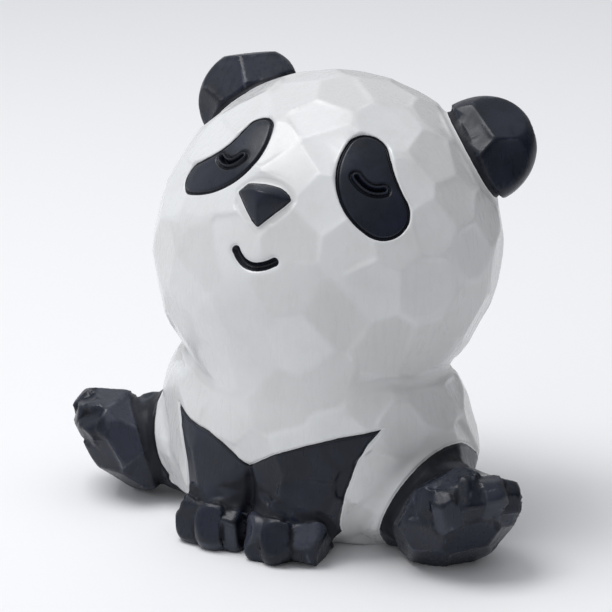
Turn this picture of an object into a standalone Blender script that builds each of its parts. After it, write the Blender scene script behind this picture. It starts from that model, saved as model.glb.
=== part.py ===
"""Seated panda figurine, about 75 mm tall, cast in one piece with a hand-carved look.

The panda sits with its hind legs spread and its front paws together on the
ground. Its big round head is lifted, turned a little to its right and leant to
its left, with the eyes shut. The whole skin is cut in flat chisel facets.

The figure is built in four steps:
  1. forms: eggs, tapered limbs and the cut nose, joined and remeshed to one skin
  2. blend: each point of the skin moves onto the softly blended union of the forms
  3. carve: chisel facets, then the toe gaps, ankles, mouth, shut eyes and the
     cut line around each eye patch
  4. thin:  flat facets are left with only the triangles that they need

Axes: the face looks toward -Y, +Z is up, and the base lies on z = 0.
A name with LEFT or RIGHT in it means the panda's own left (+X) or right (-X).
"""
import bpy
import bmesh
import math
import numpy as np
from mathutils import Matrix, Vector

# The one size that drives the figure, in metres
HEIGHT = 0.075

# Everything below is a share of the figure's height, or an angle in degrees.
# FIGURE_TOP is the ear's top in these shares, and FOOTPRINT_SHIFT brings the
# middle of the footprint to the origin.
FIGURE_TOP = 0.962
FOOTPRINT_SHIFT = (0.0153, 0.0196, 0.0)

# Head: an egg, first leant, then lifted, then turned
HEAD_CENTRE = (-0.003, 0.0, 0.593)
HEAD_RADII = (0.373, 0.313, 0.373)
HEAD_TURN = 9.2
HEAD_LIFT = 36.6
HEAD_LEAN = 7.6

# Ears: flattened balls half sunk in the head, placed by compass and height angle
EAR_RADII = (0.109, 0.073, 0.109)
EAR_SIDE = 79.9
EAR_UP = 43.6
EAR_OUT = 1.03

# Nose: a cut gem; its rim and peaks as (across, up) from its middle, peaks with a lift
NOSE_AT = (-0.024, -0.042)
NOSE_RIM = ((-0.064, 0.004), (-0.046, 0.026), (-0.014, 0.031), (0.026, 0.030), (0.046, 0.021),
            (0.057, 0.009), (0.048, -0.006), (0.012, -0.042), (0.004, -0.058),
            (-0.018, -0.044), (-0.050, -0.012))
NOSE_RIM_LIFT = 0.008
NOSE_PEAKS = ((-0.008, 0.006, 0.034), (0.016, 0.004, 0.031), (-0.034, 0.006, 0.026),
              (-0.002, -0.024, 0.027))
NOSE_ROUNDING = 0.0015
NOSE_REACH = 0.050

# Trunk
HIPS_CENTRE = (0.0, -0.007, 0.127)
HIPS_RADII = (0.327, 0.267, 0.180)
TRUNK_CENTRE = (-0.012, -0.040, 0.234)
TRUNK_RADII = (0.347, 0.250, 0.240)
THROAT_CENTRE = (0.046, -0.118, 0.300)
THROAT_RADII = (0.233, 0.205, 0.195)
TAIL_CENTRE = (0.0, 0.240, 0.120)
TAIL_RADIUS = 0.060

# Front legs: from the shoulder to the wrist, with three toes on each paw
ARM_TOP = (0.153, -0.127, 0.267)
ARM_TOP_RADIUS = 0.127
ARM_END = (0.088, -0.258, 0.080)
ARM_END_RADIUS = 0.083
LEFT_PAW_SHIFT = (-0.010, -0.002, 0.0)
LEFT_PAW_TURN = 17.0
PAW_TOES = 3
PAW_CENTRE = (0.085, -0.290, 0.052)
PAW_RADII = (0.086, 0.070, 0.056)
PAW_TOE_PLACES = (0.034, 0.078, 0.132)
PAW_TOE_SIZES = (0.84, 0.98, 1.12)
PAW_TOE_FRONT = (-0.303, 0.046)
PAW_TOE_BOW = 0.012
PAW_TOE_RADII = (0.035, 0.066, 0.052)
TOE_POWER = 3.0

# Hind legs: a thigh, and a foot set across its end with the sole out and down
THIGH_START = (0.173, -0.060, 0.120)
THIGH_START_RADIUS = 0.134
THIGH_END = (0.347, -0.133, 0.109)
THIGH_END_RADIUS = 0.096
FOOT_CENTRE = (0.403, -0.167, 0.109)
RIGHT_FOOT_SHIFT = (0.026, 0.016, 0.010)
FOOT_RADII = (0.123, 0.078, 0.125)
FOOT_TURN = 50.0
FOOT_LIFT = -37.0
HEEL_PLACE = (-0.028, 0.024, -0.046)
RIGHT_HEEL_SHIFT = (-0.014, 0.0, 0.018)
HEEL_RADIUS = 0.088
FOOT_TOES = 4
FOOT_TOE_SPREAD = 0.121
FOOT_TOE_MIDDLE = (0.012, -0.018, 0.086)
FOOT_TOE_BOW = 0.020
FOOT_TOE_RADII = (0.034, 0.042, 0.046)

# How far neighbouring forms melt into each other
BLEND_TRUNK = 0.110
BLEND_THIGH = 0.050
BLEND_ARM = 0.045
BLEND_THROAT = 0.090
BLEND_HEAD = 0.016
BLEND_SMALL = 0.014
BLEND_NOSE = 0.006
BLEND_TOES = 0.012

# Chisel facets: distance between their middles, and how flat they are cut
FACET_HEAD = 0.086
FACET_BODY = 0.096
FACET_LIMB = 0.070
FACET_EAR = 0.074
FACET_TOE = 0.050
FACET_CUT = 1.0
FACET_CUT_SMOOTH = 0.25
FACET_TILT = 1.5
FACET_EDGE = 0.004
FACET_EDGE_CREASE = 0.040
FACET_SINK = 0.8
FACET_SEED = 11
NOSE_PIECE = 1

# Cut lines: half width and depth
MOUTH_WIDTH = 0.0085
MOUTH_DEPTH = 0.013
PATCH_LINE_WIDTH = 0.0050
PATCH_LINE_DEPTH = 0.0055
EYE_WIDTH = 0.0078
EYE_DEPTH = 0.0130
EYE_LID = 0.0065
ARM_CREASE_WIDTH = 0.010
ARM_CREASE_DEPTH = 0.013
ARM_CREASE_TOP = 0.200
ARM_CREASE_SIDE = -0.005

# Face drawn on the front of the head, as (across, up) in the head's own frame
MOUTH_ARC = ((-0.059, -0.151), (-0.018, -0.175), (0.031, -0.157))
LEFT_PATCH = ((0.134, 0.116, 0.0455), (0.162, 0.047, 0.0635), (0.206, 0.005, 0.0580))
RIGHT_PATCH = ((-0.109, 0.108, 0.0365), (-0.136, 0.026, 0.0520), (-0.217, -0.012, 0.0385))
LEFT_EYE_ARC = ((0.133, 0.057), (0.167, 0.041), (0.197, 0.052))
RIGHT_EYE_ARC = ((-0.108, 0.044), (-0.135, 0.023), (-0.165, 0.036))


# Corners of the space that holds the figure, and the points scattered in it for facets
FIGURE_LOW = (-0.60, -0.42, -0.02)
FIGURE_HIGH = (0.60, 0.40, 1.00)
FACET_TRIES = 300000

# Fineness of the working skin, and the triangles left at the end
SKIN_STEP = 0.0092
FINAL_TRIANGLES = 9600

# Paints, as linear colours
WHITE_PAINT = (0.72, 0.74, 0.76, 1.0)


def clear_scene():
    """Remove the objects that the scene opens with."""
    for thing in list(bpy.data.objects):
        bpy.data.objects.remove(thing, do_unlink=True)


def turn_matrix(turn, lift, lean=0.0):
    """Rotation that leans a form sideways, lifts its front, then turns it."""
    spin = Matrix.Rotation(math.radians(turn), 3, "Z")
    nod = Matrix.Rotation(math.radians(-lift), 3, "X")
    tip = Matrix.Rotation(math.radians(lean), 3, "Y")
    return np.array(spin @ nod @ tip)


HEAD_MATRIX = turn_matrix(HEAD_TURN, HEAD_LIFT, HEAD_LEAN)


def head_point(across, up, out=1.0):
    """Point on the front of the head under (across, up), in shares of HEIGHT."""
    rx, ry, rz = HEAD_RADII
    depth = math.sqrt(max(0.0, 1.0 - (across / rx) ** 2 - (up / rz) ** 2))
    local = np.array((across * out, -ry * depth * out, up * out))
    return HEAD_MATRIX @ local + np.array(HEAD_CENTRE)


def head_direction_point(side, up, out):
    """Point on the head in a compass direction from its face, in shares."""
    a, e = math.radians(side), math.radians(up)
    ball = np.array((math.sin(a) * math.cos(e), -math.cos(a) * math.cos(e), math.sin(e)))
    return HEAD_MATRIX @ (ball * np.array(HEAD_RADII) * out) + np.array(HEAD_CENTRE)


def egg(name, centre, radii, matrix=None, power=2.0):
    """An egg-shaped form: its name, place, radii and turn; a power above 2 makes it boxier."""
    matrix = np.eye(3) if matrix is None else matrix
    return {"name": name, "kind": "egg", "centre": np.array(centre), "radii": np.array(radii),
            "matrix": matrix, "power": power}


def limb(name, start, end, start_radius, end_radius):
    """A tapered limb with round ends."""
    return {"name": name, "kind": "limb", "start": np.array(start), "end": np.array(end),
            "radii": (start_radius, end_radius)}


def foot_shift(side):
    """The right foot sits a little wider, further back and higher than the left."""
    return np.array(RIGHT_FOOT_SHIFT if side < 0 else (0.0, 0.0, 0.0))


def paw_shift(side):
    """The left front paw sits a little nearer the middle than the right one."""
    return np.array(LEFT_PAW_SHIFT if side > 0 else (0.0, 0.0, 0.0))


def foot_forms(side):
    """The hind foot and its toes; side is 1 for the panda's left and -1 for its right."""
    matrix = turn_matrix(side * FOOT_TURN, FOOT_LIFT)
    centre = (np.array(FOOT_CENTRE) + foot_shift(side)) * (side, 1, 1)
    heel = centre + matrix @ (np.array(HEEL_PLACE) * (side, 1, 1))
    heel += RIGHT_HEEL_SHIFT if side < 0 else (0.0, 0.0, 0.0)
    forms = [egg("foot", centre, FOOT_RADII, matrix), egg("foot", heel, (HEEL_RADIUS,) * 3)]
    for i in range(FOOT_TOES):
        t = i / (FOOT_TOES - 1) - 0.5
        middle = np.array(FOOT_TOE_MIDDLE)
        local = middle + (t * FOOT_TOE_SPREAD, 0.0, -FOOT_TOE_BOW * (2 * t) ** 2)
        place = centre + matrix @ (local * (side, 1, 1))
        forms.append(egg("foot_toe", place, FOOT_TOE_RADII, matrix, TOE_POWER))
    return forms


def paw_forms(side):
    """One front paw and its toes; the left paw is turned out a little."""
    turn = turn_matrix(LEFT_PAW_TURN if side > 0 else 0.0, 0.0)
    centre = np.array(PAW_CENTRE) * (side, 1, 1) + paw_shift(side)
    forms = [egg("paw", centre, PAW_RADII, turn)]
    for i in range(PAW_TOES):
        t = 2 * i / (PAW_TOES - 1) - 1
        toe = (PAW_TOE_PLACES[i], PAW_TOE_FRONT[0] + PAW_TOE_BOW * t * t, PAW_TOE_FRONT[1])
        place = centre + turn @ ((np.array(toe) - PAW_CENTRE) * (side, 1, 1))
        radii = np.array(PAW_TOE_RADII) * (PAW_TOE_SIZES[i], 1, 1)
        forms.append(egg("paw_toe", place, radii, turn, TOE_POWER))
    return forms


def nose_corners():
    """Corners of the nose: a rim sunk in the face, the same rim raised, and its peaks."""
    outward = -HEAD_MATRIX[:, 1]
    corners = []
    for lift, spread in ((-0.030, 1.10), (NOSE_RIM_LIFT, 1.0)):
        for across, up in NOSE_RIM:
            place = head_point(NOSE_AT[0] + across * spread, NOSE_AT[1] + up * spread)
            corners.append(place + outward * lift)
    for across, up, lift in NOSE_PEAKS:
        corners.append(head_point(NOSE_AT[0] + across, NOSE_AT[1] + up) + outward * lift)
    return corners


def nose_form():
    """The nose as a cut gem: the flat sides of the hull drawn tight round its corners."""
    built = bmesh.new()
    for place in nose_corners():
        built.verts.new(place)
    bmesh.ops.convex_hull(built, input=built.verts[:])
    facings = []
    reaches = []
    for face in built.faces:
        facing = np.array(face.normal)
        reach = facing @ np.array(face.verts[0].co)
        if not any(facing @ other > 0.999 for other in facings):
            facings.append(facing)
            reaches.append(reach)
    built.free()
    centre = head_point(*NOSE_AT)
    return {"name": "nose", "kind": "gem", "facings": np.array(facings),
            "reaches": np.array(reaches) - NOSE_ROUNDING, "centre": centre,
            "radii": np.array((0.050, 0.030, 0.040)), "matrix": HEAD_MATRIX}


def figure_groups():
    """The forms in the order in which they join, each group with its blend."""
    head = egg("head", HEAD_CENTRE, HEAD_RADII, HEAD_MATRIX)
    groups = [([egg("body", HIPS_CENTRE, HIPS_RADII)], BLEND_TRUNK)]
    groups.append(([egg("body", TRUNK_CENTRE, TRUNK_RADII)], BLEND_TRUNK))
    groups.append(([egg("body", TAIL_CENTRE, (TAIL_RADIUS,) * 3)], BLEND_ARM))
    for side in (1, -1):
        start = np.array(THIGH_START) * (side, 1, 1)
        end = (np.array(THIGH_END) + foot_shift(side)) * (side, 1, 1)
        thigh = limb("thigh", start, end, THIGH_START_RADIUS, THIGH_END_RADIUS)
        groups.append(([thigh], BLEND_THIGH))
        groups.append((foot_forms(side), BLEND_SMALL))
        start = np.array(ARM_TOP) * (side, 1, 1)
        end = np.array(ARM_END) * (side, 1, 1) + paw_shift(side)
        arm = limb("arm", start, end, ARM_TOP_RADIUS, ARM_END_RADIUS)
        groups.append(([arm], BLEND_ARM))
        groups.append((paw_forms(side), BLEND_SMALL))
    groups.append(([head], BLEND_HEAD))
    groups.append(([egg("throat", THROAT_CENTRE, THROAT_RADII)], BLEND_THROAT))
    for side in (1, -1):
        place = head_direction_point(side * EAR_SIDE, EAR_UP, EAR_OUT)
        groups.append(([egg("ear", place, EAR_RADII, HEAD_MATRIX)], BLEND_SMALL))
    groups.append(([nose_form()], BLEND_NOSE))
    return groups


def form_distance(form, points):
    """Distance from points to one form, negative inside, in shares of HEIGHT."""
    if form["kind"] == "limb":
        axis = form["end"] - form["start"]
        t = np.clip((points - form["start"]) @ axis / (axis @ axis), 0.0, 1.0)
        first, last = form["radii"]
        near = points - form["start"] - t[:, None] * axis
        return np.sqrt(np.einsum("ij,ij->i", near, near)) - (first + (last - first) * t)
    if form["kind"] == "gem":
        heights = (points @ form["facings"].T - form["reaches"]) / NOSE_ROUNDING
        most = heights.max(axis=1)
        return (most + np.log(np.exp(heights - most[:, None]).sum(axis=1))) * NOSE_ROUNDING
    power = form["power"]
    local = (points - form["centre"]) @ form["matrix"] / form["radii"]
    if power == 2.0:
        k0 = np.sqrt(np.einsum("ij,ij->i", local, local))
        slope = local / form["radii"]
        return k0 * (k0 - 1.0) / np.maximum(np.sqrt(np.einsum("ij,ij->i", slope, slope)), 1e-9)
    local = np.abs(local)
    k0 = (local ** power).sum(axis=1) ** (1.0 / power)
    slope = local ** (power - 1.0) / form["radii"]
    steep = np.sqrt(np.einsum("ij,ij->i", slope, slope))
    return (k0 - 1.0) * k0 ** (power - 1.0) / np.maximum(steep, 1e-9)


def soft_union(a, b, blend):
    """Union of two distance fields, rounded where they meet."""
    h = np.clip(0.5 + 0.5 * (b - a) / blend, 0.0, 1.0)
    return b + (a - b) * h - blend * h * (1.0 - h)


def figure_distance(groups, points):
    """Distance from points to the blended figure."""
    total = None
    for forms, blend in groups:
        part = form_distance(forms[0], points)
        for form in forms[1:]:
            part = soft_union(part, form_distance(form, points), BLEND_TOES)
        total = part if total is None else soft_union(total, part, blend)
    return total


def figure_normals(groups, points, step=0.002):
    """Outward direction of the blended figure at each point."""
    slopes = []
    for axis in range(3):
        shift = np.zeros(3)
        shift[axis] = step
        ahead = figure_distance(groups, points + shift)
        behind = figure_distance(groups, points - shift)
        slopes.append((ahead - behind) / (2 * step))
    slope = np.stack(slopes, axis=1)
    length = np.linalg.norm(slope, axis=1)[:, None]
    return slope / np.maximum(length, 1e-6), length[:, 0]


def add_form(form):
    """Make one form as a mesh object, at full size."""
    if form["kind"] == "limb":
        ends = zip((form["start"], form["end"]), form["radii"])
        built = bmesh.new()
        for place, radius in ends:
            made = bmesh.ops.create_uvsphere(built, u_segments=32, v_segments=20, radius=radius)
            bmesh.ops.translate(built, verts=made["verts"], vec=Vector(place))
        bmesh.ops.convex_hull(built, input=built.verts[:])
        loose = [v for v in built.verts if not v.link_faces]
        bmesh.ops.delete(built, geom=loose, context="VERTS")
    else:
        built = bmesh.new()
        bmesh.ops.create_uvsphere(built, u_segments=40, v_segments=24, radius=1.0)
        size = Matrix.Diagonal(Vector(form["radii"])).to_4x4()
        turn = Matrix(form["matrix"].tolist()).to_4x4()
        place = Matrix.Translation(Vector(form["centre"]))
        bmesh.ops.transform(built, matrix=place @ turn @ size, verts=built.verts)
    mesh = bpy.data.meshes.new(form["name"])
    built.to_mesh(mesh)
    built.free()
    thing = bpy.data.objects.new(form["name"], mesh)
    bpy.context.collection.objects.link(thing)
    return thing


def join_forms(groups, name):
    """Join every form into one object and remesh it to one closed skin."""
    things = [add_form(form) for forms, _ in groups for form in forms]
    bpy.ops.object.select_all(action="DESELECT")
    for thing in things:
        thing.select_set(True)
    bpy.context.view_layer.objects.active = things[0]
    bpy.ops.object.join()
    skin = bpy.context.view_layer.objects.active
    skin.name = name
    skin.data.name = name
    remesh = skin.modifiers.new("one_skin", "REMESH")
    remesh.mode = "VOXEL"
    remesh.voxel_size = SKIN_STEP
    bpy.ops.object.modifier_apply(modifier=remesh.name)
    return skin


def get_points(mesh):
    """Vertex places of a mesh as an array."""
    points = np.empty(len(mesh.vertices) * 3)
    mesh.vertices.foreach_get("co", points)
    return points.reshape(-1, 3)


def set_points(mesh, points):
    """Put an array of places back on a mesh's vertices."""
    mesh.vertices.foreach_set("co", points.ravel())
    mesh.update()


def settle_on_figure(groups, points, rounds=5):
    """Move points along the field's slope onto the blended surface."""
    for _ in range(rounds):
        distance = figure_distance(groups, points)
        normal, slope = figure_normals(groups, points)
        step = distance / np.maximum(slope, 0.4)
        points = points - normal * np.clip(step, -0.02, 0.02)[:, None]
    return points


def arc_points(ends_and_middle, count=25):
    """Points of a smooth arc through three (across, up, ...) places."""
    first, middle, last = (np.array(p, dtype=float) for p in ends_and_middle)
    bend = 2 * middle - 0.5 * (first + last)
    t = np.linspace(0.0, 1.0, count)[:, None]
    return (1 - t) ** 2 * first + 2 * t * (1 - t) * bend + t ** 2 * last


def distance_to_line(points, line, radii=0.0):
    """Least distance from points to a row of places, less the radius at each."""
    radii = np.broadcast_to(radii, len(line))
    best = np.full(len(points), 1e9)
    for place, radius in zip(line, radii):
        best = np.minimum(best, np.linalg.norm(points - place, axis=1) - radius)
    return best


def on_head(arc):
    """Carry a drawn arc onto the front of the head."""
    return np.array([head_point(p[0], p[1]) for p in arc])


def patch_distance(points, patch):
    """Distance to an eye patch's edge, negative inside the patch."""
    arc = arc_points(patch, 33)
    return distance_to_line(points, on_head(arc), arc[:, 2])


def face_lines(points):
    """Distance from points to each cut line of the face."""
    return {
        "mouth": distance_to_line(points, on_head(arc_points(MOUTH_ARC, 41))),
        "left_eye": distance_to_line(points, on_head(arc_points(LEFT_EYE_ARC, 41))),
        "right_eye": distance_to_line(points, on_head(arc_points(RIGHT_EYE_ARC, 41))),
        "left_patch": patch_distance(points, LEFT_PATCH),
        "right_patch": patch_distance(points, RIGHT_PATCH),
    }


def refine_face(skin):
    """Cut the skin finer where the mouth, eyes and patch edges will be cut."""
    for reach in (0.030, 0.016):
        mesh = skin.data
        points = get_points(mesh)
        lines = face_lines(points)
        nose = np.linalg.norm(points - head_point(*NOSE_AT), axis=1) - NOSE_REACH
        near = np.minimum.reduce([lines["mouth"], lines["left_eye"], lines["right_eye"], nose,
                                  np.abs(lines["left_patch"]), np.abs(lines["right_patch"])])
        built = bmesh.new()
        built.from_mesh(mesh)
        built.verts.ensure_lookup_table()
        wanted = [e for e in built.edges
                  if min(near[e.verts[0].index], near[e.verts[1].index]) < reach]
        bmesh.ops.subdivide_edges(built, edges=wanted, cuts=1, use_grid_fill=True)
        bmesh.ops.triangulate(built, faces=[f for f in built.faces if len(f.verts) > 4])
        built.to_mesh(mesh)
        built.free()


def nearest_form(groups, points):
    """Facet size at each point, and the number of the piece of the figure it is on.

    The trunk, head, thighs and arms count as one piece, whose facets run on
    across the blends. Each ear, foot and toe, and the nose, is cut by itself.
    """
    sizes = {"head": FACET_HEAD, "throat": FACET_HEAD, "body": FACET_BODY, "thigh": FACET_BODY,
             "arm": FACET_BODY, "ear": FACET_EAR, "nose": FACET_TOE, "foot": FACET_LIMB,
             "paw": FACET_LIMB, "foot_toe": FACET_TOE, "paw_toe": FACET_TOE}
    own_piece = ("ear", "foot", "paw", "foot_toe", "paw_toe")
    best = np.full(len(points), 1e9)
    steps = np.empty(len(points))
    pieces = np.zeros(len(points), dtype=int)
    forms = [form for group, _ in groups for form in group]
    for number, form in enumerate(forms, start=2):
        distance = form_distance(form, points)
        closer = distance < best
        best[closer] = distance[closer]
        steps[closer] = sizes[form["name"]]
        piece = number if form["name"] in own_piece else 0
        pieces[closer] = NOSE_PIECE if form["name"] == "nose" else piece
    return steps, pieces


def facet_fade(groups, points, reach=0.032):
    """Where facets may be cut: 1 on round and flat skin, falling to 0 in creases."""
    middle = figure_distance(groups, points)
    bend = -6.0 * middle
    for axis in range(3):
        for way in (-1, 1):
            shift = np.zeros(3)
            shift[axis] = way * reach
            bend += figure_distance(groups, points + shift)
    bend /= reach ** 2
    return np.clip((bend + 11.0) / 10.0, 0.0, 1.0)


def facet_cut(points):
    """How flat the facets are cut at each point: nearly smooth under the mouth and on the bib."""
    local = (points - np.array(HEAD_CENTRE)) @ HEAD_MATRIX
    low = np.clip((-0.09 - local[:, 2]) / 0.07, 0.0, 1.0)
    ahead = np.clip((-local[:, 1] - 0.05) / 0.10, 0.0, 1.0)
    middle = np.clip((0.24 - np.abs(local[:, 0])) / 0.08, 0.0, 1.0)
    bib = np.clip((points[:, 2] - 0.20) / 0.06, 0.0, 1.0)
    smooth = low * ahead * middle * bib
    return FACET_CUT + (FACET_CUT_SMOOTH - FACET_CUT) * smooth


def choose_facets(points, normals, steps, pieces):
    """Pick facet middles so that none is nearer to another than its own step."""
    dice = np.random.RandomState(FACET_SEED)
    order = dice.permutation(len(points))
    picked = []
    for i in order:
        if pieces[i] == NOSE_PIECE:
            continue
        if picked:
            gap = np.sum((points[picked] - points[i]) ** 2, axis=1)
            gap = gap + np.where(pieces[picked] == pieces[i], 0.0, 1.0)
            if gap.min() < steps[i] ** 2:
                continue
        picked.append(i)
    tilts = dice.normal(0.0, math.radians(FACET_TILT), (len(picked), 3))
    facings = normals[picked] + np.cross(tilts, normals[picked])
    facings /= np.linalg.norm(facings, axis=1)[:, None]
    return {"places": points[picked], "facings": facings, "spans": steps[picked],
            "pieces": pieces[picked]}


def facet_offsets(points, normals, pieces, facets, fade):
    """How far each point moves along its normal to lie on its own flat facet."""
    places, facings, spans = facets["places"], facets["facings"], facets["spans"]
    offsets = np.zeros(len(points))
    owners = np.zeros(len(points), dtype=int)
    for start in range(0, len(points), 4000):
        part = slice(start, start + 4000)
        p, n = points[part], normals[part]
        gap = np.sum((p[:, None] - places[None]) ** 2, axis=2)
        agree = n @ facings.T
        gap = gap + (1.0 - agree) * spans ** 2 * 2.0 + np.where(agree < 0.3, 1e3, 0.0)
        gap = gap + np.where(pieces[part][:, None] == facets["pieces"], 0.0, 1e2)
        nearest = np.argpartition(gap, 5, axis=1)[:, :5]
        rows = np.arange(len(p))[:, None]
        near_gap = gap[rows, nearest]
        least = near_gap.min(axis=1, keepdims=True)
        edge = FACET_EDGE + FACET_EDGE_CREASE * (1.0 - fade[part][:, None])
        weight = np.exp(-(near_gap - least) / (2.0 * edge * spans[nearest]))
        weight /= weight.sum(axis=1, keepdims=True)
        drop = np.einsum("ijk,ijk->ij", places[nearest] - p[:, None], facings[nearest])
        lift = drop / np.maximum(agree[rows, nearest], 0.5)
        limit = np.where(facets["pieces"][nearest] > 0, 0.20, 0.07) * spans[nearest]
        lift = np.clip(lift, -limit, limit)
        offsets[part] = (weight * lift).sum(axis=1)
        owners[part] = nearest[np.arange(len(p)), near_gap.argmin(axis=1)]
    return offsets - FACET_SINK * even_out(points, places, spans, offsets, owners)


def even_out(points, places, spans, offsets, owners):
    """The offsets' average around each point, spread over the facets near it."""
    count = np.maximum(np.bincount(owners, minlength=len(places)), 1)
    mean = np.bincount(owners, offsets, len(places)) / count
    spread = np.zeros(len(points))
    for start in range(0, len(points), 4000):
        part = slice(start, start + 4000)
        gap = np.sum((points[part][:, None] - places[None]) ** 2, axis=2)
        weight = np.exp(-gap / (0.6 * spans) ** 2) + 1e-12
        spread[part] = weight @ mean / weight.sum(axis=1)
    return spread


def line_cut(distance, width, depth):
    """A rounded groove along a line."""
    return -depth * np.exp(-(distance / width) ** 2)


def face_offsets(points):
    """The mouth, the shut eyes and the cut line around each eye patch."""
    lines = face_lines(points)
    offsets = line_cut(lines["mouth"], MOUTH_WIDTH, MOUTH_DEPTH)
    for side in ("left", "right"):
        offsets += line_cut(lines[side + "_patch"], PATCH_LINE_WIDTH, PATCH_LINE_DEPTH)
        slot = line_cut(lines[side + "_eye"], EYE_WIDTH, EYE_DEPTH + EYE_LID)
        lid = line_cut(lines[side + "_eye"], EYE_WIDTH * 2.0, -EYE_LID)
        offsets += slot + lid
    return offsets


def crease_offsets(points):
    """The upright crease between the front legs, fading out at the chest."""
    below = np.clip((ARM_CREASE_TOP - points[:, 2]) / 0.04, 0.0, 1.0)
    ahead = np.clip((-0.20 - points[:, 1]) / 0.04, 0.0, 1.0)
    across = points[:, 0] - ARM_CREASE_SIDE
    return line_cut(across, ARM_CREASE_WIDTH, ARM_CREASE_DEPTH) * below * ahead


def pick_facets(groups):
    """Facets picked from points scattered evenly over the blended figure."""
    dice = np.random.RandomState(FACET_SEED)
    points = dice.uniform(FIGURE_LOW, FIGURE_HIGH, (FACET_TRIES, 3))
    points = points[np.abs(figure_distance(groups, points)) < 0.012]
    points = settle_on_figure(groups, points)
    normals, _ = figure_normals(groups, points, 0.006)
    steps, pieces = nearest_form(groups, points)
    open_skin = facet_fade(groups, points) > 0.5
    return choose_facets(points[open_skin], normals[open_skin], steps[open_skin],
                         pieces[open_skin])


def carve(skin, groups):
    """Settle the skin on the figure, then cut the facets, the face and the creases."""
    facets = pick_facets(groups)
    set_points(skin.data, settle_on_figure(groups, get_points(skin.data)))
    refine_face(skin)
    points = settle_on_figure(groups, get_points(skin.data), 3)
    normals, _ = figure_normals(groups, points, 0.006)
    _, pieces = nearest_form(groups, points)
    fade = facet_fade(groups, points)
    offsets = facet_offsets(points, normals, pieces, facets, fade) * facet_cut(points) * fade
    offsets[pieces == NOSE_PIECE] = 0.0
    offsets += face_offsets(points) + crease_offsets(points)
    points = points + normals * offsets[:, None]
    points[:, 2] = np.maximum(points[:, 2], 0.0)
    set_points(skin.data, points)


def thin_out(skin):
    """Leave each flat facet only the triangles it needs."""
    triangles = sum(len(face.vertices) - 2 for face in skin.data.polygons)
    thin = skin.modifiers.new("thin_out", "DECIMATE")
    thin.decimate_type = "COLLAPSE"
    thin.ratio = min(1.0, FINAL_TRIANGLES / triangles)
    bpy.ops.object.modifier_apply(modifier=thin.name)
    points = get_points(skin.data)
    on_base = points[:, 2] < 0.0012
    points[on_base, 2] = 0.0
    set_points(skin.data, points)


def finish_mesh(skin):
    """Bring the shares to metres on the centred footprint, and clean the mesh."""
    points = get_points(skin.data) + np.array(FOOTPRINT_SHIFT)
    set_points(skin.data, points * (HEIGHT / FIGURE_TOP))
    built = bmesh.new()
    built.from_mesh(skin.data)
    bmesh.ops.dissolve_degenerate(built, edges=built.edges[:], dist=HEIGHT * 1e-5)
    bmesh.ops.triangulate(built, faces=built.faces[:])
    bmesh.ops.recalc_face_normals(built, faces=built.faces[:])
    built.to_mesh(skin.data)
    built.free()


def paint_material():
    """Satin white paint, the colour of most of the figure."""
    material = bpy.data.materials.new("white_paint")
    material.use_nodes = True
    surface = material.node_tree.nodes["Principled BSDF"]
    surface.inputs["Base Color"].default_value = WHITE_PAINT
    surface.inputs["Roughness"].default_value = 0.4
    surface.inputs["Metallic"].default_value = 0.0
    return material


def build_figurine():
    """Model the figurine and give it its paint."""
    groups = figure_groups()
    skin = join_forms(groups, "panda_figurine")
    carve(skin, groups)
    thin_out(skin)
    finish_mesh(skin)
    skin.data.materials.clear()
    skin.data.materials.append(paint_material())
    return skin


clear_scene()
build_figurine()
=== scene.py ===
"""Seated panda figurine of cast resin, carved all over in chisel facets and painted by hand.

One piece, painted white with blue-black ears, eye patches, nose, mouth, front
legs and hind feet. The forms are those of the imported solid, on a finer skin
whose facets have softer edges. The eyes, the outlines of the patches and the
paint's edge are cut here too, and what the paint reads is stored on the skin.
"""
import math

import bmesh
import bpy
import numpy as np
from bpy.props import FloatProperty, FloatVectorProperty, IntProperty, PointerProperty
from mathutils import Matrix, Vector


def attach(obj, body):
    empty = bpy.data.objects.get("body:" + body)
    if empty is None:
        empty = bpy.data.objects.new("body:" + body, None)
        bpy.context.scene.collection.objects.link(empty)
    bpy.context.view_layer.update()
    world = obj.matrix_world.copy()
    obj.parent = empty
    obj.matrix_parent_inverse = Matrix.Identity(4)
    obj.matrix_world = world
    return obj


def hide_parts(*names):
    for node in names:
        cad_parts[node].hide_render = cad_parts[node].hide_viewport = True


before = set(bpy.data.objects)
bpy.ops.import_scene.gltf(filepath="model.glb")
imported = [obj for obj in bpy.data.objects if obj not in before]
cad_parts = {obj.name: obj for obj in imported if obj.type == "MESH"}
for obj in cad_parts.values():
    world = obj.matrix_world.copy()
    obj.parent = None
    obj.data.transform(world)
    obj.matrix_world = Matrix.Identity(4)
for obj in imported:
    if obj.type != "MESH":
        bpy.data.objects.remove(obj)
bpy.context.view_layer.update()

bl_info = {
    "name": "Carved panda figurine",
    "version": (1, 0, 0),
    "blender": (4, 5, 0),
    "location": "3D View > Sidebar > Figurine",
    "description": "Carves and paints a seated panda figurine of cast resin",
    "category": "Object",
}


# Everything below is a share of the figure's height, or an angle in degrees.
# FIGURE_TOP is the ear's top in these shares, and FOOTPRINT_SHIFT brings the
# middle of the footprint to the origin.
FIGURE_TOP = 0.962
FOOTPRINT_SHIFT = (0.0153, 0.0196, 0.0)

# Head: an egg, first leant, then lifted, then turned
HEAD_CENTRE = (-0.003, 0.0, 0.593)
HEAD_RADII = (0.373, 0.313, 0.373)
HEAD_TURN = 9.2
HEAD_LIFT = 36.6
HEAD_LEAN = 7.6

# Ears: flattened balls half sunk in the head, placed by compass and height angle
EAR_RADII = (0.109, 0.073, 0.109)
EAR_SIDE = 79.9
EAR_UP = 43.6
EAR_OUT = 1.03

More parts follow.
